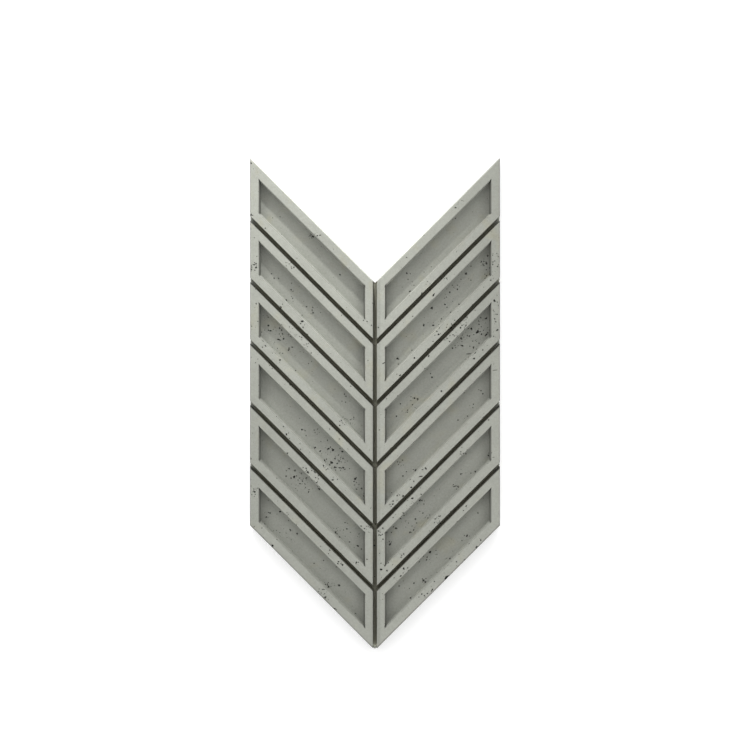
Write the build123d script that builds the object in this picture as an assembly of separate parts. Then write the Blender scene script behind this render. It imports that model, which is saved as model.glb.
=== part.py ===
# Cast concrete chevron wall panel, one solid piece, lying on its back, face up.
# Millimetres. +X across the panel, +Y towards the notched end, +Z out of the face.
import math
import os

from build123d import *

os.makedirs("parts", exist_ok=True)

# ---- driving dimensions -------------------------------------------------
WIDTH = 500.0  # overall, across both columns
SIDE_LENGTH = 735.0  # length of each straight side
THICKNESS = 32.0  # back to face
ROWS = 6  # frames in each column
GROOVE = 7.9  # width of a groove at the face, before its arrises are rounded
GROOVE_FLOOR = 6.2  # width of a groove at its floor
GROOVE_DEPTH = 20.0
RIM = 15.6  # width of a frame's rim at the face, before rounding
RECESS_DEPTH = 15.0
RECESS_DRAFT = 2.5  # how far a recess wall leans in over its depth
OUTER_LEAN = 1.6  # how far the outer wall leans in towards the face
LEAN_DEPTH = 18.0  # depth at which the leaning outer wall meets the slab
OUTER_ROUND = 2.8  # radius along the outer edge of the face
ARRIS = 0.8  # radius along the grooves and round the sunk fields
MEET = math.radians(12.0)  # slope at which a rounded edge runs into the flat of the face

HALF = WIDTH / 2
ROOT2 = math.sqrt(2.0)
TOP = THICKNESS
OVER = 4.0  # how far a cutter runs on past the face or the back


def curve(lean, radius, end):
    """Rounding from a wall that leans back by lean for each mm of height and would meet the face at 0.
    Three points as (distance back, height). The end is where the curve's slope is end."""
    z = TOP - radius * math.cos(MEET)
    back = radius * math.hypot(1.0, lean) - lean * (TOP - z)
    start = math.pi / 2 - math.atan(lean)
    return [
        (back - radius * math.sin(t), z + radius * math.cos(t))
        for t in (start, (start + end) / 2, end)
    ]


outer_lean = OUTER_LEAN / LEAN_DEPTH
outer_edge = curve(outer_lean, OUTER_ROUND, MEET)  # ends in the face
outer_past = curve(outer_lean, OUTER_ROUND, 0.0)  # ends a little over the face
# How far the flat of the face stands in from the outline, square to the edge.
BORDER = OUTER_LEAN + outer_edge[2][0]
# v is the height of a 45 degree line where it crosses the middle of the panel.
V_TOP = (SIDE_LENGTH - HALF) / 2  # notch, with the outline's box centred on y = 0
V_TIP = V_TOP - SIDE_LENGTH
V_FACE_TOP = V_TOP - BORDER * ROOT2
V_FACE_TIP = V_TIP + BORDER * ROOT2
PITCH = (V_FACE_TOP - V_FACE_TIP + GROOVE * ROOT2) / ROWS  # rows, measured along Y


def bar(runs, start, across, along, length):
    """Straight bar along a direction. Its section goes round through runs of points, (across, height):
    a run of three is a curve, a run of one is a corner."""

    def at(p):
        return Vector(start[0] + across[0] * p[0], start[1] + across[1] * p[0], p[1])

    edges = []
    for run, following in zip(runs, runs[1:] + runs[:1]):
        if len(run) == 3:
            edges.append(Edge.make_three_point_arc(*[at(p) for p in run]))
        edges.append(Edge.make_line(at(run[-1]), at(following[0])))
    return Solid.extrude(Face(Wire(edges)), Vector(along[0], along[1], 0) * length)


def prism(low, z_low, high, z_high):
    """Solid with flat sides between two outlines that have parallel edges."""
    a = [Vector(x, y, z_low) for x, y in low]
    b = [Vector(x, y, z_high) for x, y in high]
    n = len(a)
    faces = [
        Face(Wire.make_polygon(a, close=True)),
        Face(Wire.make_polygon(b, close=True)),
    ]
    for i in range(n):
        j = (i + 1) % n
        faces.append(Face(Wire.make_polygon([a[i], a[j], b[j], b[i]], close=True)))
    solid = Solid(Shell(faces))
    return solid if solid.volume > 0 else Solid(Shell([-f for f in faces]))


# ---- right half of the block: its outer walls lean in and round over to the face --
SLANT = (1 / ROOT2, 1 / ROOT2)  # along the frames of the right column
SQUARE = (-1 / ROOT2, 1 / ROOT2)  # square to them, towards the notch
deep = SIDE_LENGTH / ROOT2  # from the lower edge to the notch, square to both
low_edge = [(OUTER_LEAN + p, z) for p, z in outer_edge]
slanted_bar = bar(
    [
        [(0.0, 0.0)],
        [(0.0, TOP - LEAN_DEPTH)],
        low_edge,
        [(deep - p, z) for p, z in reversed(low_edge)],
        [(deep, TOP - LEAN_DEPTH)],
        [(deep, 0.0)],
    ],
    (-50.0, V_TIP - 50.0),
    SQUARE,
    SLANT,
    2 * SIDE_LENGTH,
)
side_past = [(HALF - OUTER_LEAN - p, z) for p, z in outer_past]
upright_bar = bar(
    [
        [(0.0, -OVER)],
        [(HALF, -OVER)],
        [(HALF, TOP - LEAN_DEPTH)],
        side_past,
        [(side_past[2][0], TOP + OVER)],
        [(0.0, TOP + OVER)],
    ],
    (0.0, -SIDE_LENGTH),
    (1.0, 0.0),
    (0.0, 1.0),
    2 * SIDE_LENGTH,
)
half = (slanted_bar & upright_bar).solids()[0]

# ---- grooves, with shoulders that round over to the face -----------------------
groove_lean = (GROOVE - GROOVE_FLOOR) / 2 / GROOVE_DEPTH
shoulder = [(GROOVE / 2 + p, z) for p, z in curve(groove_lean, ARRIS, 0.0)]
groove_section = [
    [(-GROOVE_FLOOR / 2, TOP - GROOVE_DEPTH)],
    [(GROOVE_FLOOR / 2, TOP - GROOVE_DEPTH)],
    shoulder,
    [(shoulder[2][0], TOP + OVER)],
    [(-shoulder[2][0], TOP + OVER)],
    [(-p, z) for p, z in reversed(shoulder)],
]
cutters = [bar(groove_section, (0.0, -SIDE_LENGTH), (1.0, 0.0), (0.0, 1.0), 2 * SIDE_LENGTH)]
for row in range(1, ROWS):
    mid = V_FACE_TOP - row * PITCH + GROOVE * ROOT2 / 2
    cutters.append(bar(groove_section, (0.0, mid), SQUARE, SLANT, (HALF + 20.0) * ROOT2))

# ---- sunk fields -------------------------------------------------------------
x_in, x_out = GROOVE / 2 + RIM, HALF - BORDER - RIM
for row in range(ROWS):
    v_high = V_FACE_TOP - row * PITCH - RIM * ROOT2
    v_low = V_FACE_TOP - (row + 1) * PITCH + (GROOVE + RIM) * ROOT2
    outlines = []
    for inset in (RECESS_DRAFT, -RECESS_DRAFT / RECESS_DEPTH * OVER):
        a, b = x_in + inset, x_out - inset
        low, high = v_low + inset * ROOT2, v_high - inset * ROOT2
        outlines.append([(a, low + a), (b, low + b), (b, high + b), (a, high + a)])
    cutters.append(prism(outlines[0], TOP - RECESS_DEPTH, outlines[1], TOP + OVER))

half = half.cut(*cutters)
if isinstance(half, ShapeList):
    half = half[0]
half = half.solids()[0]

# ---- rounded arrises round every sunk field ------------------------------------
arrises = []
for rim in half.faces():
    if abs(rim.center().Z - TOP) < 1e-3:
        for field in rim.inner_wires():
            arrises += field.edges()
half = half.fillet(ARRIS, arrises).solids()[0]

# ---- both halves are one casting -------------------------------------------------
panel = (half + half.mirror(Plane.YZ)).clean().solids()[0]

export_step(panel, "parts/chevron_panel.step")
print("arrises", len(arrises), "row pitch", round(PITCH, 2), "border", round(BORDER, 3))
print("volume litres", round(panel.volume / 1e6, 3), "faces", len(panel.faces()), "size", panel.bounding_box().size)
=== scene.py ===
import math

import bmesh
import bpy
import numpy as np
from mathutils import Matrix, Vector


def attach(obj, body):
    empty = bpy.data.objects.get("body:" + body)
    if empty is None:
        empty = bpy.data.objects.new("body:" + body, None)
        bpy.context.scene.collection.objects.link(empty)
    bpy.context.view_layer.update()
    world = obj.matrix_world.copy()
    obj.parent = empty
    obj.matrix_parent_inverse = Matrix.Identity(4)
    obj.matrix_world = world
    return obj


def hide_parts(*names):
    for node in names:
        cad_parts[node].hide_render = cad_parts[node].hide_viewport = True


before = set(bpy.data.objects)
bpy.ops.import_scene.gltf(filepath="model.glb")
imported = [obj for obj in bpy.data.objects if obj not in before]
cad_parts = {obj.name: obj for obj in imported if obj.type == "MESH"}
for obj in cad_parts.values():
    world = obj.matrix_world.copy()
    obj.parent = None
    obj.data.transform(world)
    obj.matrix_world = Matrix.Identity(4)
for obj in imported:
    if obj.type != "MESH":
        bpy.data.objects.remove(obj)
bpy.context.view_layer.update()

scene = bpy.context.scene
MM = 0.001

# ---- the panel's own dimensions, in mm -----------------------------------------------
HALF = 250.0
SIDE_LENGTH = 735.0
TOP = 32.0
ROWS = 6
GROOVE = 7.9
GROOVE_DEPTH = 20.0
RIM = 15.6
RECESS_DEPTH = 15.0
RECESS_DRAFT = 2.5
OUTER_LEAN = 1.6
LEAN_DEPTH = 18.0
OUTER_ROUND = 2.8
BORDER = 3.585
ROOT2 = math.sqrt(2.0)
V_TOP = (SIDE_LENGTH - HALF) / 2
V_TIP = V_TOP - SIDE_LENGTH
V_FACE_TOP = V_TOP - BORDER * ROOT2
V_FACE_TIP = V_TIP + BORDER * ROOT2
PITCH = (V_FACE_TOP - V_FACE_TIP + GROOVE * ROOT2) / ROWS


def lie(x, y):
    """Height of the cast face over the back at a point, and what is there."""
    across, v = abs(x), y - abs(x)
    row = min(max(math.floor((V_FACE_TOP + GROOVE * ROOT2 / 2 - v) / PITCH), 0), ROWS - 1)
    high = V_FACE_TOP - row * PITCH
    low = high - PITCH + GROOVE * ROOT2
    side = HALF - BORDER - across
    ends = min((high - v) / ROOT2, (v - low) / ROOT2)
    inward = min(across - GROOVE / 2, side, ends)
    if inward < 0:
        out = -min(side, (V_FACE_TOP - v) / ROOT2, (v - V_FACE_TIP) / ROOT2)
        if out > 0:
            turn = min(out / OUTER_ROUND + 0.2, 0.98)
            return TOP - OUTER_ROUND * (1 - math.sqrt(1 - turn * turn)), "border"
        return TOP - GROOVE_DEPTH, "groove"
    if inward < RIM:
        return TOP, "rim"
    lean = (inward - RIM) / RECESS_DRAFT
    if lean < 1:
        return TOP - RECESS_DEPTH * lean, "wall"
    return TOP - RECESS_DEPTH, "field"


# ---- air pores: x, y and width in mm ---------------------------------------------------
PORES = [
    # row 1, left column
    (-246, 478, 2.7), (-243, 375, 2.5), (-218, 349, 2.5), (-205, 372, 1.8), (-190, 374, 2.3), (-187, 339, 2.0),
    (-155, 289, 1.8), (-130, 336, 2.3), (-127, 338, 2.5), (-123, 335, 4.7), (-115, 334, 2.9), (-109, 335, 2.3),
    (-70, 258, 3.3), (-23, 166, 2.0), (-16, 164, 2.3), (-7, 156, 2.7),
    # row 1, right column
    (7, 152, 2.9), (63, 291, 2.7), (64, 261, 3.3), (66, 249, 2.3), (70, 225, 3.3), (71, 260, 2.0),
    (75, 244, 1.8), (78, 237, 2.3), (93, 220, 3.1), (104, 243, 1.8), (113, 274, 1.8), (155, 368, 2.9),
    (160, 390, 3.5), (161, 371, 2.9), (173, 404, 2.3), (176, 403, 1.8),
    # row 2, left column
    (-245, 268, 2.0), (-245, 272, 2.5), (-240, 276, 2.0), (-240, 330, 1.8), (-239, 265, 2.3), (-237, 271, 3.9),
    (-236, 279, 2.5), (-235, 293, 1.8), (-207, 260, 2.7), (-202, 251, 2.5), (-193, 251, 2.5), (-189, 191, 3.3),
    (-184, 198, 2.3), (-178, 207, 3.9), (-177, 281, 2.0), (-176, 274, 2.0), (-168, 228, 2.9), (-167, 241, 2.3),
    (-166, 272, 1.8), (-165, 211, 2.5), (-164, 204, 1.8), (-164, 225, 2.3), (-161, 272, 2.7), (-148, 159, 2.9),
    (-146, 177, 1.8), (-145, 164, 4.9), (-143, 152, 2.9), (-140, 157, 2.0), (-137, 194, 2.7), (-134, 138, 2.9),
    (-126, 187, 2.3), (-125, 193, 2.0), (-123, 181, 1.8), (-109, 182, 2.0), (-66, 176, 2.0), (-37, 154, 2.9),
    (-14, 86, 1.8),
    # row 2, right column
    (43, 59, 2.0), (45, 90, 4.5), (47, 79, 2.5), (50, 57, 3.3), (74, 107, 2.5), (75, 174, 2.3), (78, 91, 3.3),
    (98, 157, 4.3), (110, 228, 2.9), (114, 191, 4.5), (115, 124, 2.9), (116, 216, 4.1), (117, 157, 3.7),
    (118, 219, 2.3), (119, 136, 2.0), (123, 144, 2.5), (126, 138, 4.1), (128, 151, 1.8), (130, 140, 2.0),
    (133, 170, 2.5), (138, 249, 2.0), (139, 211, 1.8), (140, 199, 3.1), (142, 152, 2.3), (142, 250, 2.5),
    (143, 213, 2.5), (144, 193, 2.3), (150, 223, 3.1), (151, 183, 2.7), (152, 159, 2.3), (153, 152, 4.5),
    (155, 205, 1.8), (155, 237, 2.3), (158, 233, 1.8), (165, 229, 3.1), (165, 237, 2.3), (166, 256, 3.1),
    (168, 199, 3.1), (172, 249, 2.3), (172, 263, 3.1), (182, 260, 3.9), (192, 247, 2.0), (192, 275, 2.3),
    (213, 284, 2.9), (216, 232, 2.0), (216, 280, 2.3), (217, 278, 2.3), (218, 285, 2.0), (220, 251, 2.0),
    (223, 256, 2.9), (223, 268, 2.5), (223, 281, 3.7), (226, 296, 3.7), (229, 259, 3.3), (229, 271, 3.3),
    (230, 246, 2.7), (234, 277, 2.7), (234, 295, 2.0), (238, 284, 2.3), (242, 299, 2.3), (244, 273, 2.9),
    # row 3, left column
    (-245, 154, 2.0), (-237, 228, 2.0), (-236, 199, 2.5), (-233, 164, 2.3), (-227, 143, 2.3), (-224, 176, 1.8),
    (-218, 116, 2.5), (-217, 114, 1.8), (-214, 173, 2.0), (-213, 156, 3.7), (-209, 146, 3.7), (-201, 123, 1.8),
    (-200, 153, 1.8), (-194, 129, 3.3), (-191, 151, 3.3), (-190, 127, 2.3), (-189, 87, 3.5), (-189, 135, 1.8),
    (-187, 147, 2.5), (-185, 101, 2.3), (-183, 130, 3.3), (-173, 107, 4.1), (-173, 138, 2.5), (-172, 111, 2.5),
    (-170, 153, 2.0), (-166, 113, 2.7), (-159, 66, 2.3), (-156, 123, 2.9), (-150, 134, 2.3), (-141, 117, 2.3),
    (-136, 119, 2.5), (-134, 114, 1.8), (-133, 80, 2.7), (-132, 120, 1.8), (-127, 84, 1.8), (-127, 101, 2.9),
    (-70, -43, 2.9), (-70, -35, 2.3), (-67, -33, 2.7), (-66, 5, 2.0), (-64, -27, 2.0), (-61, 19, 2.5),
    (-60, -30, 2.0), (-59, 3, 2.0), (-58, 15, 2.7), (-56, -31, 1.8), (-49, -39, 2.0), (-49, -32, 2.5),
    (-48, 35, 2.0), (-43, -31, 1.8),
    # row 3, right column
    (9, -52, 2.3), (23, 10, 2.3), (43, -25, 2.9), (45, 16, 2.0), (51, 0, 2.3), (65, -17, 2.7), (65, -13, 2.5),
    (72, 14, 2.7), (79, 11, 3.3), (85, 9, 3.7), (99, 70, 2.3), (103, 70, 3.3), (107, 95, 3.1), (111, 60, 2.3),
    (114, 53, 3.3), (132, 25, 3.5), (139, 127, 2.0), (143, 130, 2.7), (148, 124, 2.3), (149, 136, 2.9),
    (155, 111, 3.3), (155, 137, 3.1), (158, 135, 2.0), (170, 151, 3.7), (172, 117, 2.0), (172, 131, 3.7),
    (173, 156, 2.3), (174, 124, 1.8), (175, 116, 4.1), (178, 133, 1.8), (178, 149, 2.0), (181, 156, 2.5),
    (183, 172, 2.0), (187, 93, 2.0), (187, 150, 2.7), (189, 135, 3.5), (190, 115, 2.0), (193, 150, 4.1),
    (196, 125, 2.3), (197, 90, 3.7), (197, 113, 3.7), (199, 186, 2.3), (203, 109, 3.1), (205, 143, 6.1),
    (208, 121, 3.1), (208, 159, 3.1), (213, 139, 3.3), (213, 154, 2.3), (214, 107, 2.5), (217, 147, 2.5),
    (223, 138, 5.5), (223, 171, 3.7), (226, 142, 2.7), (229, 147, 3.1), (235, 186, 2.3), (236, 134, 2.3),
    (238, 205, 3.9), (240, 163, 2.7), (243, 146, 4.1), (243, 178, 2.9), (243, 202, 2.5),
    # row 4, left column
    (-233, 89, 2.0), (-210, 76, 1.8), (-196, -25, 2.0), (-182, -45, 2.5), (-176, -60, 3.9), (-172, -58, 1.8),
    (-170, -69, 2.9), (-149, -79, 1.8), (-148, -90, 2.3), (-146, -52, 3.3), (-140, -54, 2.0), (-138, -64, 2.5),
    (-122, -53, 2.0), (-120, -88, 3.3), (-120, -58, 2.0), (-116, -61, 1.8), (-115, -51, 1.8), (-110, -95, 3.3),
    (-108, -76, 2.0), (-102, -123, 3.5), (-101, -114, 2.9), (-99, -117, 2.0), (-97, -131, 2.3),
    (-97, -111, 2.3), (-95, -73, 2.7), (-94, -128, 1.8), (-93, -90, 3.7), (-91, -122, 2.7), (-90, -50, 2.0),
    (-89, -87, 2.5), (-86, -118, 4.9), (-84, -151, 3.5), (-84, -93, 5.1), (-83, -146, 1.8), (-81, -127, 4.1),
    (-80, -110, 3.3), (-79, -133, 2.5), (-78, -128, 3.3), (-76, -120, 3.3), (-75, -150, 2.3), (-73, -103, 2.3),
    (-72, -115, 2.5), (-71, -70, 2.5), (-70, -129, 2.9), (-69, -111, 2.0), (-65, -96, 4.1), (-64, -128, 4.1),
    (-64, -110, 2.9), (-60, -131, 2.5), (-55, -115, 2.0), (-51, -130, 2.0), (-42, -156, 2.5), (-41, -163, 2.5),
    (-40, -150, 4.7), (-37, -171, 3.1), (-37, -158, 2.3), (-32, -162, 1.8), (-27, -170, 3.3), (-22, -185, 3.5),
    (-22, -179, 2.7),
    # row 4, right column
    (1, -242, 2.5), (30, -200, 2.3), (32, -204, 2.0), (35, -200, 3.7), (36, -193, 3.7), (40, -203, 2.0),
    (44, -182, 2.5), (47, -122, 2.0), (49, -194, 2.9), (49, -181, 2.0), (50, -117, 1.8), (55, -113, 2.3),
    (56, -183, 3.7), (56, -145, 2.9), (63, -136, 2.7), (72, -166, 3.3), (77, -154, 2.5), (77, -132, 2.3),
    (81, -134, 4.1), (82, -161, 2.0), (95, -131, 2.3), (101, -128, 3.7), (166, -33, 2.9), (178, 22, 2.5),
    (185, -25, 2.5), (196, -8, 2.0), (197, -1, 2.7), (208, 28, 1.8), (212, 26, 2.9), (215, -27, 2.0),
    (216, 20, 3.3), (236, 79, 1.8),
    # row 5, left column
    (-195, -148, 2.0), (-178, -145, 3.1), (-174, -98, 2.9), (-172, -130, 2.9), (-168, -149, 2.5),
    (-162, -147, 4.7), (-160, -134, 3.1), (-157, -145, 2.0), (-154, -153, 2.0), (-150, -160, 2.3),
    (-147, -139, 2.3), (-145, -155, 2.9), (-140, -161, 2.5), (-139, -168, 2.0), (-138, -149, 3.1),
    (-137, -128, 2.5), (-136, -132, 2.3), (-133, -177, 3.1), (-133, -136, 4.7), (-132, -172, 2.0),
    (-126, -133, 2.7), (-121, -153, 1.8), (-119, -137, 3.1), (-118, -147, 2.7), (-116, -157, 3.1),
    (-112, -171, 4.3), (-112, -149, 2.0), (-79, -258, 3.7), (-76, -261, 2.7), (-71, -267, 2.7),
    (-63, -253, 1.8), (-60, -238, 2.5), (-56, -251, 3.3), (-51, -277, 2.7), (-38, -318, 1.8), (-37, -315, 3.5),
    (-34, -285, 3.9), (-33, -315, 2.0), (-32, -261, 2.7), (-28, -243, 3.1), (-27, -291, 2.3), (-21, -248, 2.7),
    (-16, -309, 2.3), (-13, -243, 1.8), (-2, -274, 2.0), (-1, -347, 2.3), (-1, -285, 2.9),
    # row 5, right column
    (7, -253, 3.3), (8, -261, 2.9), (9, -297, 2.3), (12, -329, 4.1), (12, -317, 2.7), (12, -261, 2.3),
    (15, -247, 2.5), (16, -269, 2.9), (19, -322, 2.5), (24, -331, 3.7), (24, -258, 2.3), (29, -276, 2.3),
    (30, -282, 4.9), (33, -277, 1.8), (33, -258, 2.7), (35, -320, 2.0), (36, -226, 2.7), (37, -247, 2.5),
    (42, -249, 4.7), (51, -230, 3.3), (52, -305, 2.5), (53, -301, 2.7), (56, -217, 3.3), (57, -299, 2.3),
    (58, -224, 2.5), (65, -192, 2.0), (70, -258, 3.3), (75, -188, 5.1), (81, -231, 3.3), (83, -239, 2.5),
    (89, -194, 4.5), (90, -167, 1.8), (92, -180, 3.1), (94, -194, 2.5), (96, -219, 2.7), (98, -201, 2.0),
    (106, -229, 2.0), (110, -223, 2.0), (118, -236, 2.0), (119, -229, 2.0), (125, -237, 2.3), (129, -233, 2.5),
    (130, -223, 2.5), (158, -166, 2.5), (162, -165, 2.7), (163, -171, 2.0), (167, -167, 2.5), (171, -100, 2.9),
    (172, -141, 3.3), (173, -87, 1.8), (175, -98, 2.7), (180, -98, 2.3), (192, -139, 2.5), (201, -136, 3.3),
    (226, -32, 2.7), (228, -104, 3.7), (228, -99, 2.0), (236, -106, 2.3),
    # row 6, left column
    (-241, -169, 1.8), (-240, -244, 2.0), (-240, -184, 1.8), (-239, -175, 3.7), (-238, -180, 2.0),
    (-225, -247, 2.0), (-221, -241, 2.0), (-217, -227, 3.9), (-213, -218, 2.0), (-210, -219, 3.1),
    (-197, -254, 1.8), (-195, -270, 2.9), (-190, -216, 3.5), (-178, -259, 1.8), (-176, -268, 1.8),
    (-173, -234, 2.7), (-170, -252, 2.7), (-156, -260, 3.5), (-122, -320, 2.9), (-113, -373, 1.8),
    (-111, -368, 2.0), (-110, -379, 3.9), (-108, -283, 2.0), (-107, -376, 2.7), (-103, -369, 3.1),
    (-103, -314, 2.3), (-100, -377, 2.3), (-99, -362, 2.5), (-98, -384, 3.9), (-95, -363, 2.7),
    (-93, -367, 3.9), (-92, -298, 2.0), (-90, -291, 2.5), (-88, -366, 2.0), (-78, -327, 2.5), (-77, -409, 2.5),
    (-73, -314, 2.5), (-72, -364, 4.3), (-68, -318, 2.0), (-65, -320, 3.7), (-39, -420, 2.9),
    # row 6, right column
    (38, -346, 2.0), (48, -365, 3.3), (51, -342, 3.7), (56, -336, 2.0), (57, -355, 2.0), (57, -327, 3.9),
    (65, -326, 2.7), (66, -331, 3.1), (69, -370, 1.8), (71, -389, 3.7), (78, -359, 3.1), (87, -384, 2.0),
    (89, -317, 2.0), (93, -378, 3.1), (95, -351, 2.0), (97, -354, 3.5), (97, -306, 2.3), (98, -381, 2.3),
    (101, -357, 3.3), (102, -350, 2.3), (103, -313, 2.9), (104, -377, 3.1), (105, -307, 2.3), (110, -298, 4.5),
    (114, -369, 2.9), (118, -353, 2.3), (122, -294, 2.3), (124, -338, 2.0), (124, -302, 2.0), (150, -310, 3.1),
    (162, -314, 2.3), (167, -299, 2.3), (174, -274, 2.0), (176, -212, 2.3), (179, -264, 2.3), (181, -203, 3.5),
    (184, -265, 4.5), (187, -278, 2.3), (189, -265, 2.0), (202, -284, 3.3), (206, -219, 3.1), (210, -271, 3.1),
]  # fmt: skip

# Patches of fine pores: middle x and y, half width, half height, and how many.
PATCHES = [
    (-119, 335, 13, 6, 7), (-240, 272, 7, 9, 9), (-170, 275, 10, 8, 7), (-125, 186, 3, 8, 4),
    (-139, 118, 15, 18, 15), (-190, 127, 36, 31, 31), (-55, -35, 16, 10, 11), (-77, -111, 25, 24, 31),
    (-123, -142, 15, 16, 9), (-154, -151, 24, 25, 20), (-239, -174, 6, 8, 7), (-191, -236, 37, 24, 15),
    (-18, -250, 11, 8, 7), (-54, -263, 27, 27, 11), (-72, -319, 8, 6, 4), (-107, -376, 7, 9, 7),
    (-86, -361, 16, 4, 7), (217, 281, 7, 6, 11), (139, 211, 43, 56, 26), (237, 272, 9, 29, 7),
    (155, 143, 31, 19, 24), (191, 139, 39, 33, 40), (240, 170, 6, 38, 7), (64, -5, 23, 22, 9),
    (51, -117, 8, 8, 7), (65, -190, 34, 12, 11), (82, -237, 51, 21, 13), (12, -255, 7, 9, 9),
    (161, -165, 7, 5, 7), (126, -229, 6, 7, 7), (54, -303, 5, 6, 4), (106, -367, 12, 20, 9),
    (135, -315, 35, 22, 9), (177, -92, 7, 11, 7),
]  # fmt: skip

# Long marks and chips: x, y, z, then half length, half width and half depth, and the turn.
MARKS = [
    (187.5, 99.5, 16.6, 5.2, 0.9, 1.6, 4),
    (91.0, -144.5, 31.6, 4.6, 1.1, 1.8, 12),
    (18.0, 81.5, 30.6, 3.6, 1.2, 2.4, 22),
    (236.5, 206.0, 31.6, 2.6, 0.9, 1.6, 62),
    (238.6, 67.0, 31.9, 4.5, 0.7, 0.7, 6),
    (143.5, -344.8, 30.6, 5.8, 3.6, 5.0, 20),
    (139.6, -348.2, 29.0, 3.4, 2.6, 4.5, 45),
    (-203.5, -281.8, 30.8, 2.6, 2.0, 3.2, -40),
    (201.5, -285.0, 31.2, 2.0, 1.6, 2.4, 45),
    (-247.0, 478.5, 30.5, 1.9, 1.5, 2.4, 80),
    (153.7, 152.0, 28.0, 3.2, 2.4, 4.6, 30),
    (-241.0, 361.0, 29.5, 2.4, 1.8, 3.0, -45),
    (-187.0, 192.0, 30.8, 2.4, 1.6, 2.4, -45),
    (-36.5, 154.5, 30.8, 2.2, 1.6, 2.4, -45),
    (93.5, 219.5, 30.6, 2.4, 1.7, 2.6, 45),
]  # fmt: skip

FACE_PORE, SIDE_PORE = 1, 2  # which faces a cutter leaves, as a material index until the cutting is done
rng = np.random.default_rng(20417)


def ball(level):
    bm = bmesh.new()
    bmesh.ops.create_icosphere(bm, subdivisions=level, radius=1.0)
    points = np.array([v.co[:] for v in bm.verts])
    faces = np.array([[v.index for v in f.verts] for f in bm.faces])
    bm.free()
    return points, faces


BALLS = {level: ball(level) for level in (2, 3)}


def blob(x, y, z, a, b, c, turn, level, rough, kind=FACE_PORE):
    """A lumpy egg, as (middle, reach, points, faces, kind), for cutting a pore or a chip."""
    points, faces = BALLS[level]
    lumps = np.ones(len(points))
    for strength, fine in ((1.0, 1.6), (0.8, 2.6), (0.5, 4.2)):
        way = rng.normal(size=3)
        way *= fine / np.linalg.norm(way)
        lumps += rough * strength * np.sin(points @ way + rng.uniform(0, 2 * math.pi))
    lumps += rng.uniform(-0.25, 0.25, len(points)) * rough
    p = points * lumps[:, None] * (a, b, c)
    s, k = math.sin(math.radians(turn)), math.cos(math.radians(turn))
    p = p @ np.array(((k, s, 0), (-s, k, 0), (0, 0, 1)))
    p += (x, y, z)
    middle = np.array((x, y, z), float)
    return middle, float(np.linalg.norm(p - middle, axis=1).max()), p, faces, kind


def pore(x, y, width, rough=0.15):
    """One pore sunk into whatever face lies under (x, y)."""
    z, where = lie(x, y)
    width = min(width, 1.3 + 0.6 * width)
    width *= 1.05 if width > 2.6 else 1.12
    level = 3 if width >= 3.3 else 2
    a = width / 2 * rng.uniform(1.0, 1.25)
    b = width * width / 4 / a
    c = width / 2 * rng.uniform(1.0, 1.5)
    sink = 0.3 * c
    if where == "wall":
        sink = 0.0
    return blob(x, y, z - sink, a, b, c, rng.uniform(0, 180), level, rough)


cuts = [pore(x, y, w) for x, y, w in PORES]
for x, y, w in PORES:  # the wider ones have run together with a second bubble
    if w >= 3.7:
        turn = rng.uniform(0, 2 * math.pi)
        far = w * rng.uniform(0.42, 0.6)
        cuts.append(pore(x + far * math.cos(turn), y + far * math.sin(turn), w * rng.uniform(0.4, 0.6)))
cuts += [blob(*m, 3, 0.12) for m in MARKS]


def fine_width(most):
    return 1.0 + (most - 1.0) * rng.power(0.9) ** 1.6


for x, y, wide, high, count in PATCHES:
    for _ in range(count):
        cuts.append(pore(x + rng.uniform(-wide, wide), y + rng.uniform(-high, high), fine_width(2.4)))
for x, y, w in PORES:  # fine pores gather round the wide ones
    for _ in range(rng.poisson(0.3)):
        turn, far = rng.uniform(0, 2 * math.pi), rng.uniform(3, 13)
        cuts.append(pore(x + far * math.cos(turn), y + far * math.sin(turn), fine_width(1.7)))
loose = 0
while loose < 170:  # and the rest lie anywhere on the face
    x = rng.uniform(-246, 246)
    v = rng.uniform(V_FACE_TIP + 3, V_FACE_TOP - 3)
    if lie(x, v + abs(x))[1] in ("rim", "field", "wall"):
        cuts.append(pore(x, v + abs(x), fine_width(1.5)))
        loose += 1

# Small losses along the arrises of the frames.
for column in (-1, 1):
    for row in range(ROWS):
        high = V_FACE_TOP - row * PITCH
        low = high - PITCH + GROOVE * ROOT2
        for _ in range(7):
            inset = RIM if rng.random() < 0.4 else 0.0
            x0, x1 = GROOVE / 2 + inset, HALF - BORDER - inset
            v0, v1 = low + inset * ROOT2, high - inset * ROOT2
            edge = rng.integers(0, 6)
            if edge < 4:
                x = rng.uniform(x0, x1)
                v = (v0, v1)[edge % 2]
                turn = 45 * column
            else:
                x = (x0, x1)[edge % 2]
                v = rng.uniform(v0, v1)
                turn = 90
            size = 0.6 + 0.9 * rng.power(0.7) ** 2
            cuts.append(
                blob(column * x, v + x, TOP - 0.3, size * rng.uniform(1.1, 2.0), size, size * 1.1, turn, 2, 0.16)
            )

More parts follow.
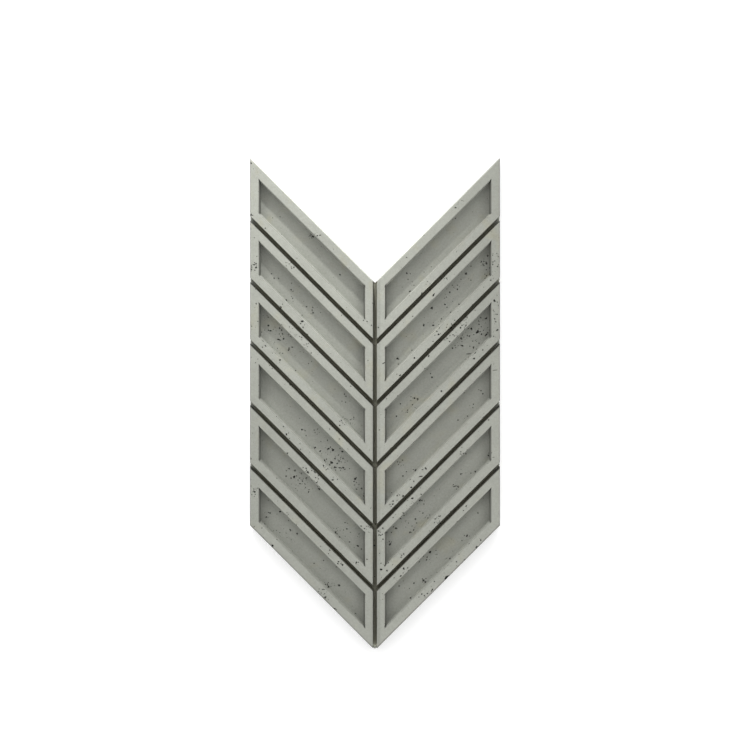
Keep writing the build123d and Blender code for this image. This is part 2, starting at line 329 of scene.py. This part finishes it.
# Pores and worn spots on the outer sides.
OUTLINE = [(-HALF, V_TOP + HALF), (-HALF, V_TIP + HALF), (0, V_TIP), (HALF, V_TIP + HALF), (HALF, V_TOP + HALF), (0, V_TOP)]
for (xa, ya), (xb, yb) in zip(OUTLINE, OUTLINE[1:] + OUTLINE[:1]):
    length = math.hypot(xb - xa, yb - ya)
    out = ((yb - ya) / length * -1, (xb - xa) / length)
    for _ in range(int(length / 22)):
        t = rng.uniform(0.02, 0.98)
        z = rng.uniform(2.5, 28)
        w = 0.9 + 2.4 * rng.power(0.7) ** 2
        inside = OUTER_LEAN * max(0.0, (z - (TOP - LEAN_DEPTH)) / LEAN_DEPTH) + 0.1 * w
        x, y = xa + (xb - xa) * t + out[0] * inside, ya + (yb - ya) * t + out[1] * inside
        cuts.append(
            blob(x, y, z, w / 2, w / 2, w / 2 * rng.uniform(0.8, 1.2), 0, 3 if w > 2.6 else 2, 0.14, SIDE_PORE)
        )


# ---- cutting ---------------------------------------------------------------------------
def batches(blobs):
    """Sorts blobs into groups in which no two can touch."""
    groups = []
    for b in sorted(blobs, key=lambda t: -t[1]):
        for group in groups:
            middles, reaches = group["m"], group["r"]
            if (np.linalg.norm(np.array(middles) - b[0], axis=1) > np.array(reaches) + b[1] + 0.05).all():
                break
        else:
            group = {"m": [], "r": [], "b": []}
            groups.append(group)
        group["m"].append(b[0])
        group["r"].append(b[1])
        group["b"].append(b)
    return [g["b"] for g in groups]


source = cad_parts["chevron_panel"]
cast = bpy.data.meshes.new("cast_panel")
bm = bmesh.new()
bm.from_mesh(source.data)
bmesh.ops.remove_doubles(bm, verts=bm.verts, dist=2e-6)
bmesh.ops.dissolve_degenerate(bm, edges=bm.edges, dist=1e-7)
bmesh.ops.recalc_face_normals(bm, faces=bm.faces)
open_edges = sum(1 for e in bm.edges if len(e.link_faces) != 2)
for f in bm.faces:
    f.material_index = 0
    f.smooth = False
for layer in list(bm.loops.layers.uv.values()):
    bm.loops.layers.uv.remove(layer)
bm.to_mesh(cast)
bm.free()
print("open edges before cutting:", open_edges)

concrete = bpy.data.materials.new("concrete")
spare = [bpy.data.materials.new("face_pore"), bpy.data.materials.new("side_pore")]
panel = bpy.data.objects.new("cast_panel", cast)
scene.collection.objects.link(panel)
for material in [concrete] + spare:
    cast.materials.append(material)

for group in batches(cuts):
    start, points, faces, kinds = 0, [], [], []
    for _, _, p, f, kind in group:
        points.append(p)
        faces.append(f + start)
        kinds.append(np.full(len(f), kind, np.int32))
        start += len(p)
    mesh = bpy.data.meshes.new("cutter")
    mesh.from_pydata((np.concatenate(points) * MM).tolist(), [], np.concatenate(faces).tolist())
    mesh.polygons.foreach_set("material_index", np.concatenate(kinds))
    for material in [concrete] + spare:
        mesh.materials.append(material)
    cutter = bpy.data.objects.new("cutter", mesh)
    scene.collection.objects.link(cutter)
    cut = panel.modifiers.new("cut", "BOOLEAN")
    cut.operation = "DIFFERENCE"
    cut.solver = "MANIFOLD"
    cut.object = cutter
    bpy.context.view_layer.update()
    made = bpy.data.meshes.new_from_object(panel.evaluated_get(bpy.context.evaluated_depsgraph_get()))
    panel.modifiers.remove(cut)
    old, panel.data = panel.data, made
    bpy.data.meshes.remove(old)
    bpy.data.objects.remove(cutter)
    bpy.data.meshes.remove(mesh)

mesh = panel.data
mesh.name = "cast_panel"

# Points that coincide are welded, and any bubble shut inside the concrete goes.
bm = bmesh.new()
bm.from_mesh(mesh)
bmesh.ops.remove_doubles(bm, verts=bm.verts, dist=3e-7)
bmesh.ops.triangulate(bm, faces=[f for f in bm.faces if len(f.verts) > 3])
for f in [f for f in bm.faces if f.calc_area() < 1e-14]:  # a face gone flat: its long edge is turned
    bmesh.ops.rotate_edges(bm, edges=[max(f.edges, key=lambda e: e.calc_length())])
bm.faces.ensure_lookup_table()
bm.faces.index_update()
shells, known = [], [False] * len(bm.faces)
for start in bm.faces:
    if known[start.index]:
        continue
    known[start.index] = True
    shell, waiting = [], [start]
    while waiting:
        f = waiting.pop()
        shell.append(f)
        for e in f.edges:
            for g in e.link_faces:
                if not known[g.index]:
                    known[g.index] = True
                    waiting.append(g)
    shells.append(shell)
shells.sort(key=len)
sizes = [len(s) for s in shells]
bmesh.ops.delete(bm, geom=[f for s in shells[:-1] for f in s], context="FACES")
bmesh.ops.delete(bm, geom=[v for v in bm.verts if not v.link_faces], context="VERTS")
print("shells:", sizes, "edges not shared by two faces:", sum(1 for e in bm.edges if len(e.link_faces) != 2), "flat faces:", sum(1 for f in bm.faces if f.calc_area() < 1e-14))
bm.to_mesh(mesh)
bm.free()
count = len(mesh.polygons)
kind = np.zeros(count, np.int32)
mesh.polygons.foreach_get("material_index", kind)
in_pore = kind > 0
first = np.zeros(count, np.int32)
sides = np.zeros(count, np.int32)
mesh.polygons.foreach_get("loop_start", first)
mesh.polygons.foreach_get("loop_total", sides)
corner = np.zeros(len(mesh.loops), np.int32)
mesh.loops.foreach_get("vertex_index", corner)
face_of = np.repeat(np.arange(count), sides)
point = np.zeros(len(mesh.vertices) * 3, np.float32)
mesh.vertices.foreach_get("co", point)
point = point.reshape(-1, 3).astype(float) / MM

# The faces of pores and chips are marked, for their darker tone: partly a darker paste, partly painted shade.
mark = mesh.attributes.new("pore", "FLOAT", "CORNER")
mark.data.foreach_set("value", in_pore[face_of].astype(np.float32))
mesh.polygons.foreach_set("use_smooth", in_pore)
mesh.polygons.foreach_set("material_index", np.zeros(count, np.int32))
for material in spare:
    mesh.materials.pop(index=1)
    bpy.data.materials.remove(material)
print("triangles:", int((sides - 2).sum()), "pores and chips:", len(cuts))


# ---- a flat map of the whole surface -----------------------------------------------------
# The face is laid out as seen from above, the back beside it, and the steep walls as strips.
normal = np.zeros(count * 3, np.float32)
mesh.polygons.foreach_get("normal", normal)
normal = normal.reshape(-1, 3)
middle = np.zeros((count, 3))
np.add.at(middle, face_of, point[corner])
middle /= sides[:, None]
seen = ((normal[:, 2] > 0.35) & (kind != SIDE_PORE)) | (kind == FACE_PORE)
under = ~seen & (normal[:, 2] < -0.5) & ~in_pore
wall = ~seen & ~under
PIXEL = 1.0 / 1024.0
flat = np.zeros((len(corner), 2))
p = point[corner]
loop = seen[face_of]
flat[loop, 0] = (p[loop, 0] + HALF + 4.0) * 1.02 * PIXEL
flat[loop, 1] = (p[loop, 1] + 492.5 + 6.0) * 1.02 * PIXEL
loop = under[face_of]
flat[loop, 0] = (530 + (HALF - p[loop, 0]) * 0.47) * PIXEL
flat[loop, 1] = (550 + (p[loop, 1] + 492.5) * 0.47) * PIXEL
ways = np.array([(1, 0), (-1, 0), (1, 1), (-1, -1), (-1, 1), (1, -1)], float)
ways /= np.linalg.norm(ways, axis=1)[:, None]
chosen = np.full(count, -1)
chosen[wall] = np.argmax(normal[wall, :2] @ ways.T, axis=1)
for i in np.flatnonzero(kind == SIDE_PORE):  # a pore on an outer side belongs to that side
    x, y = middle[i, 0], middle[i, 1]
    v = y - abs(x)
    gaps = [HALF - abs(x), (V_TOP - v) / ROOT2, (v - V_TIP) / ROOT2]
    nearest = int(np.argmin(gaps))
    if wall[i]:
        chosen[i] = (0 if x > 0 else 1) if nearest == 0 else {(1, 1): 4, (1, -1): 2, (2, 1): 5, (2, -1): 3}[nearest, 1 if x > 0 else -1]
strips = []
for way in range(6):
    members = np.flatnonzero(chosen == way)
    if not len(members):
        continue
    offset = middle[members, :2] @ ways[way]
    order = np.argsort(offset)
    breaks = np.flatnonzero(np.diff(offset[order]) > 4.0) + 1
    for run in np.split(order, breaks):
        strips.append((way, members[run]))
SCALE = 0.64
placed = []
for way, members in strips:
    loops = np.isin(face_of, members)
    along = p[loops, :2] @ np.array((-ways[way][1], ways[way][0]))
    height = p[loops, 2]
    placed.append((height.max() - height.min(), along.max() - along.min(), along.min(), height.min(), loops, along, height))
placed.sort(key=lambda s: (-round(s[0]), -s[1]))
left, right, bottom, tall = 530.0, 1018.0, 6.0, 0.0
x = left
for high, long, a0, z0, loops, along, height in placed:
    if x + long * SCALE > right:
        x, bottom, tall = left, bottom + tall + 2.5, 0.0
    flat[loops, 0] = (x + (along - a0) * SCALE) * PIXEL
    flat[loops, 1] = (bottom + (height - z0) * SCALE) * PIXEL
    x += long * SCALE + 2.5
    tall = max(tall, high * SCALE)
print("strips:", len(placed), "up to row", round(bottom + tall, 1), "map", flat.min(0).round(3), flat.max(0).round(3))
layer = mesh.uv_layers.new(name="OFBake")
layer.data.foreach_set("uv", flat.astype(np.float32).ravel())
mesh.update()


# ---- the concrete ----------------------------------------------------------------------
def nodes_of(tree):
    def node(kind, **values):
        n = tree.nodes.new(kind)
        for key, value in values.items():
            if key[0].isupper():
                n.inputs[key.replace("_", " ")].default_value = value
            else:
                setattr(n, key, value)
        return n

    def link(a, b):
        tree.links.new(a, b)

    def sums(kind, a, b=None, clamp=False):
        n = node("ShaderNodeMath", operation=kind, use_clamp=clamp)
        for i, value in enumerate((a, b)):
            if value is None:
                continue
            if isinstance(value, (int, float)):
                n.inputs[i].default_value = value
            else:
                link(value, n.inputs[i])
        return n.outputs[0]

    def ramp(value, low, high, to_low=0.0, to_high=1.0):
        n = node("ShaderNodeMapRange", interpolation_type="SMOOTHSTEP")
        for i, v in enumerate((low, high, to_low, to_high)):
            n.inputs[i + 1].default_value = v
        link(value, n.inputs[0])
        return n.outputs[0]

    return node, link, sums, ramp


def make_concrete(mat):
    mat.use_nodes = True
    mat.node_tree.nodes.clear()
    node, link, sums, ramp = nodes_of(mat.node_tree)
    out = node("ShaderNodeOutputMaterial")
    shader = node("ShaderNodeBsdfPrincipled", IOR=1.5)
    shader.inputs["Specular IOR Level"].default_value = 0.25
    link(shader.outputs[0], out.inputs[0])
    where = node("ShaderNodeTexCoord").outputs["Object"]

    def noise(scale, detail, rough=0.55, twist=0.0):
        n = node("ShaderNodeTexNoise", Scale=scale, Detail=detail, Roughness=rough, Distortion=twist)
        link(where, n.inputs["Vector"])
        return n.outputs[0]

    clouds = noise(6.5, 3.0)
    mottle = noise(42.0, 4.0, 0.6)
    speckle = noise(240.0, 3.0, 0.6)
    grain = noise(1300.0, 2.0)

    # Even tone, clouded over hands' breadths, mottled by centimetres, grained by millimetres.
    tone = sums("ADD", ramp(clouds, 0.25, 0.75, -0.04, 0.04), ramp(mottle, 0.25, 0.75, -0.035, 0.035))
    tone = sums("ADD", tone, ramp(speckle, 0.2, 0.8, -0.07, 0.07))
    tone = sums("ADD", tone, ramp(grain, 0.2, 0.8, -0.1, 0.1))
    tone = sums("ADD", tone, 1.0)

    # Sand grains and pinholes too fine to model.
    pin = node("ShaderNodeTexVoronoi", Scale=210.0, Randomness=1.0)
    link(where, pin.inputs["Vector"])
    pits = sums("MULTIPLY", ramp(pin.outputs["Distance"], 0.05, 0.13, 1.0, 0.0), ramp(noise(30.0, 2.0), 0.50, 0.62))
    dark = sums("MULTIPLY", pits, -0.5)
    tone = sums("MULTIPLY", tone, sums("ADD", dark, 1.0))

    # Inside the pores and chips the tone is darker: partly a darker paste, partly painted shade of their deep hollows.
    inside = node("ShaderNodeAttribute", attribute_name="pore").outputs["Fac"]
    tone = sums("MULTIPLY", tone, ramp(inside, 0.0, 1.0, 1.0, 0.25))

    # Where a point lies, in mm: across from the middle line, from the nearest slanted groove's middle line
    # (positive towards the notch), from the sides of a frame, and in from the outline.
    split = node("ShaderNodeSeparateXYZ")
    link(where, split.inputs[0])
    across = sums("MULTIPLY", sums("ABSOLUTE", split.outputs["X"]), 1000.0)
    v = sums("SUBTRACT", sums("MULTIPLY", split.outputs["Y"], 1000.0), across)
    height = sums("MULTIPLY", split.outputs["Z"], 1000.0)
    step = sums("DIVIDE", sums("SUBTRACT", v, V_FACE_TOP - PITCH + GROOVE * ROOT2 / 2), PITCH)
    line = sums("MULTIPLY", sums("SUBTRACT", step, sums("ROUND", step)), PITCH / ROOT2)
    away = sums("ABSOLUTE", line)
    to_side = sums("SUBTRACT", sums("MINIMUM", across, sums("SUBTRACT", HALF - BORDER + GROOVE / 2, across)), GROOVE / 2)
    side_in = sums("SUBTRACT", HALF, across)
    foot_in = sums("DIVIDE", sums("SUBTRACT", v, V_TIP), ROOT2)
    between = sums("MULTIPLY", sums("LESS_THAN", v, V_TOP - 30), sums("GREATER_THAN", v, V_TIP + 30))

    def band(value, start, full, last, end):
        """1 between full and last, 0 before start and after end."""
        return sums("MULTIPLY", ramp(value, start, full), ramp(value, last, end, 1.0, 0.0))

    # Painted shade: the middle groove, the groove shoulders, the walls of the sunk fields and the outer edges are
    # darker than the face; painted light: the slanted groove floors and the groove ends are lighter.
    sunk = band(height, TOP - GROOVE_DEPTH - 0.4, TOP - GROOVE_DEPTH - 0.1, 29.8, 31.4)
    # middle and slanted mark the grooves: below, the middle groove's tone is darkened as painted shade and the slanted
    # grooves' tone lightened as painted light.
    middle = sums("MULTIPLY", ramp(across, 4.3, 4.7, 1.0, 0.0), sunk)
    slanted = sums("MULTIPLY", sums("MULTIPLY", ramp(away, 4.3, 4.7, 1.0, 0.0), between), sunk)
    lean = sums("MULTIPLY", sums("MAXIMUM", sums("SUBTRACT", height, TOP - LEAN_DEPTH), 0.0), OUTER_LEAN / LEAN_DEPTH)
    notch_in = sums("DIVIDE", sums("SUBTRACT", V_TOP, v), ROOT2)
    inner = sums("SUBTRACT", sums("MINIMUM", sums("MINIMUM", side_in, foot_in), notch_in), lean)
    inner = ramp(inner, 0.1, 0.3)  # 0 on the outer faces
    middle, slanted = sums("MULTIPLY", middle, inner), sums("MULTIPLY", slanted, inner)
    hollow = sums("MAXIMUM", middle, slanted)
    # Painted shade high on the slanted grooves' lower walls, at their shoulders.
    shoulder_shade = sums("MULTIPLY", sums("MULTIPLY", band(line, -5.1, -4.4, -3.2, -2.2), between), ramp(height, 19.0, 25.0))
    # Painted shade on the upper, lower and side walls of the sunk fields.
    sunk_wall = (GROOVE / 2 + RIM - 0.9, GROOVE / 2 + RIM - 0.3, GROOVE / 2 + RIM + RECESS_DRAFT - 0.4, GROOVE / 2 + RIM + RECESS_DRAFT + 0.2)
    raised = ramp(height, 14.5, 16.0)
    framed = sums("MULTIPLY", ramp(to_side, RIM - 1.0, RIM - 0.4), raised)
    upper_wall_shade = sums("MULTIPLY", band(sums("MULTIPLY", line, -1.0), *sunk_wall), framed)
    lower_wall_shade = sums("MULTIPLY", band(line, *sunk_wall), framed)
    from_rim = sums("SUBTRACT", to_side, sums("MULTIPLY", sums("LESS_THAN", across, HALF / 2), 0.7))
    side_wall_shade = sums("MULTIPLY", band(from_rim, *[d - GROOVE / 2 for d in sunk_wall]), ramp(away, GROOVE / 2 + RIM - 1.0, GROOVE / 2 + RIM - 0.4))
    side_wall_shade = sums("MULTIPLY", side_wall_shade, raised)
    # Painted shade on the sunk field floors near their side walls.
    field_end_shade = sums("MULTIPLY", ramp(to_side, RIM + 1.5, RIM + 33.0, 1.0, 0.0), band(height, 16.2, 16.7, 17.3, 18.2))
    field_end_shade = sums("MULTIPLY", field_end_shade, ramp(to_side, RIM + 0.5, RIM + 1.5))
    # Painted shade on the left wall of the middle groove and on the face beside it, stronger on its right.
    left = sums("MULTIPLY", split.outputs["X"], -1000.0)
    lip_shade = sums("MULTIPLY", sums("MULTIPLY", band(left, 2.6, 3.2, 4.4, 5.2), inner), raised)
    beside_shade = sums("ADD", band(sums("MULTIPLY", left, -1.0), 3.9, 4.6, 8.0, 13.0), sums("MULTIPLY", band(left, 3.9, 4.6, 8.0, 13.0), 0.4))
    beside_shade = sums("MULTIPLY", sums("MULTIPLY", beside_shade, inner), ramp(height, 24.0, 28.0))
    # Painted shade on the slanted groove floors along their lower wall.
    lower_floor_shade = sums("MULTIPLY", sums("MULTIPLY", band(line, -4.4, -3.8, -2.8, -1.4), slanted), ramp(height, 22.0, 26.0, 1.0, 0.0))
    # mouth marks the slanted grooves near the outer sides; painted shade on their walls there.
    mouth = sums("MULTIPLY", slanted, ramp(side_in, 4.0, 18.0, 1.0, 0.0))
    mouth_wall_shade = sums("MULTIPLY", mouth, ramp(height, 12.3, 14.0))
    # Painted light on the middle groove's floor towards the tip.
    tip_end_light = sums("MULTIPLY", sums("MULTIPLY", middle, ramp(foot_in, 2.0, 13.0, 1.0, 0.0)), ramp(height, 12.3, 16.0, 1.0, 0.0))
    # Painted shade along the outer sides and the lower edges.
    side_edge_shade = ramp(side_in, 2.4, 3.8, 1.0, 0.0)
    foot_edge_shade = ramp(foot_in, 2.6, 4.4, 1.0, 0.0)
    # Painted light on the groove floors at their open ends.
    groove_end_light = sums("MAXIMUM", ramp(side_in, 2.2, 4.2, 1.0, 0.0), ramp(foot_in, 3.0, 6.0, 1.0, 0.0))
    groove_end_light = sums("MULTIPLY", sums("MULTIPLY", hollow, groove_end_light), ramp(height, 12.3, 14.0, 1.0, 0.0))
    # Painted shade on the lower part of the notch walls.
    notch_wall_shade = sums("MULTIPLY", ramp(sums("SUBTRACT", V_TOP, v), 3.0, 4.6, 1.0, 0.0), ramp(height, 26.0, 30.0, 1.0, 0.0))
    # Each mask scales the tone by 1 - loss: a positive loss is painted shade, a negative one painted light.
    for mask, loss in (
        (middle, 0.3),
        (slanted, -0.15),
        (shoulder_shade, 0.68),
        (upper_wall_shade, 0.32),
        (lower_wall_shade, 0.2),
        (side_wall_shade, 0.5),
        (side_edge_shade, 0.44),
        (foot_edge_shade, 0.58),
        (notch_wall_shade, 0.35),
        (groove_end_light, -1.4),
        (field_end_shade, 0.15),
        (lip_shade, 0.5),
        (beside_shade, 0.12),
        (lower_floor_shade, 0.34),
        (tip_end_light, -0.8),
        (mouth_wall_shade, 0.45),
    ):
        tone = sums("MULTIPLY", tone, ramp(mask, 0.0, 1.0, 1.0, 1.0 - loss))

    # A warmer, yellower tint: in random patches it is the concrete's own tone, in the grooves it is painted
    # bounce-light tint.
    warm = node("ShaderNodeMix", data_type="RGBA")
    warm.inputs["A"].default_value = (0.313, 0.32, 0.284, 1.0)
    warm.inputs["B"].default_value = (0.322, 0.317, 0.25, 1.0)
    warm_patches_and_bounce_tint = sums("MAXIMUM", ramp(noise(22.0, 2.0, 0.5, 0.4), 0.56, 0.80, 0.0, 0.7), sums("SUBTRACT", hollow, sums("MAXIMUM", groove_end_light, mouth)))
    link(warm_patches_and_bounce_tint, warm.inputs["Factor"])
    paint = node("ShaderNodeMix", data_type="RGBA", blend_type="MULTIPLY")
    paint.inputs["Factor"].default_value = 1.0
    link(warm.outputs["Result"], paint.inputs["A"])
    link(tone, paint.inputs["B"])
    link(paint.outputs["Result"], shader.inputs["Base Color"])

    rough = sums("ADD", ramp(mottle, 0.25, 0.75, 0.84, 0.95), ramp(speckle, 0.3, 0.7, -0.03, 0.03), True)
    link(rough, shader.inputs["Roughness"])

    broad = node("ShaderNodeBump", Strength=0.3, Distance=0.0009)
    link(mottle, broad.inputs["Height"])
    fine = node("ShaderNodeBump", Strength=0.35, Distance=0.0003)
    link(sums("ADD", speckle, sums("MULTIPLY", grain, 0.5)), fine.inputs["Height"])
    link(broad.outputs[0], fine.inputs["Normal"])
    holes = node("ShaderNodeBump", Strength=0.8, Distance=0.0006)
    link(sums("SUBTRACT", 1.0, pits), holes.inputs["Height"])
    link(fine.outputs[0], holes.inputs["Normal"])
    link(holes.outputs[0], shader.inputs["Normal"])


make_concrete(concrete)

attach(panel, "root")
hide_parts("chevron_panel")

# ---- floor, light and camera -------------------------------------------------------------
bm = bmesh.new()
bmesh.ops.create_grid(bm, x_segments=1, y_segments=1, size=60.0)
floor_mesh = bpy.data.meshes.new("floor")
bm.to_mesh(floor_mesh)
bm.free()
floor = bpy.data.objects.new("floor", floor_mesh)
floor.location.z = -0.0004
scene.collection.objects.link(floor)
pale = bpy.data.materials.new("pale_floor")
pale.use_nodes = True
surface = pale.node_tree.nodes["Principled BSDF"]
surface.inputs["Base Color"].default_value = (0.93, 0.93, 0.93, 1.0)
surface.inputs["Roughness"].default_value = 0.9
surface.inputs["Specular IOR Level"].default_value = 0.0
surface.inputs["Emission Color"].default_value = (1.0, 1.0, 1.0, 1.0)
surface.inputs["Emission Strength"].default_value = 0.25
floor_mesh.materials.append(pale)

def direction(elevation, azimuth):
    """Unit direction towards a light; azimuth 0 is +Y and 90 is +X."""
    e, a = math.radians(elevation), math.radians(azimuth)
    return Vector((math.cos(e) * math.sin(a), math.cos(e) * math.cos(a), math.sin(e)))


# Soft light from low all round, a little more of it from beyond the notch.
world = bpy.data.worlds.new("studio")
scene.world = world
world.use_nodes = True
world.node_tree.nodes.clear()
node, link, sums, ramp = nodes_of(world.node_tree)
facing = node("ShaderNodeTexCoord").outputs["Generated"]
total = None
for elevation, azimuth, strength in (
    (8, 0, 5.4),
    (8, 180, 5.4),
    (8, 90, 1.6),
    (8, -90, 1.6),
    (8, 45, 0.6),
    (8, -45, 1.2),
    (8, 135, 0.7),
    (8, -135, 0.7),
    (32, 0, 1.24),
):
    towards = node("ShaderNodeVectorMath", operation="DOT_PRODUCT")
    link(facing, towards.inputs[0])
    towards.inputs[1].default_value = direction(elevation, azimuth)
    lobe = sums("POWER", sums("MAXIMUM", towards.outputs["Value"], 0.0), 6.0)
    lobe = sums("MULTIPLY", lobe, strength)
    total = lobe if total is None else sums("ADD", total, lobe)
background = node("ShaderNodeBackground")
background.inputs["Color"].default_value = (1.0, 1.0, 1.0, 1.0)
link(total, background.inputs["Strength"])
link(background.outputs[0], node("ShaderNodeOutputWorld").inputs[0])

# The key: one soft lamp low beyond the notch, a little to the left, fading towards the far end.
key_data = bpy.data.lights.new("key", "SPOT")
key_data.energy = 206.0
key_data.shadow_soft_size = 0.08
key_data.spot_size = math.radians(18.0)
key_data.spot_blend = 0.1
key = bpy.data.objects.new("key", key_data)
key.location = (-0.215, 2.258, 0.722)
key.rotation_euler = (Vector((-0.113, 0.765, 0.017)) - key.location).to_track_quat("-Z", "Y").to_euler()
scene.collection.objects.link(key)

camera_data = bpy.data.cameras.new("camera")
camera_data.lens = 50.0
camera_data.sensor_width = 36.0
camera = bpy.data.objects.new("camera", camera_data)
camera.location = (0.0, 0.0573, 2.1024)
camera.rotation_euler = (0.0, 0.0, 0.0)
scene.collection.objects.link(camera)
scene.camera = camera

scene.view_settings.view_transform = "Standard"
scene.view_settings.look = "None"
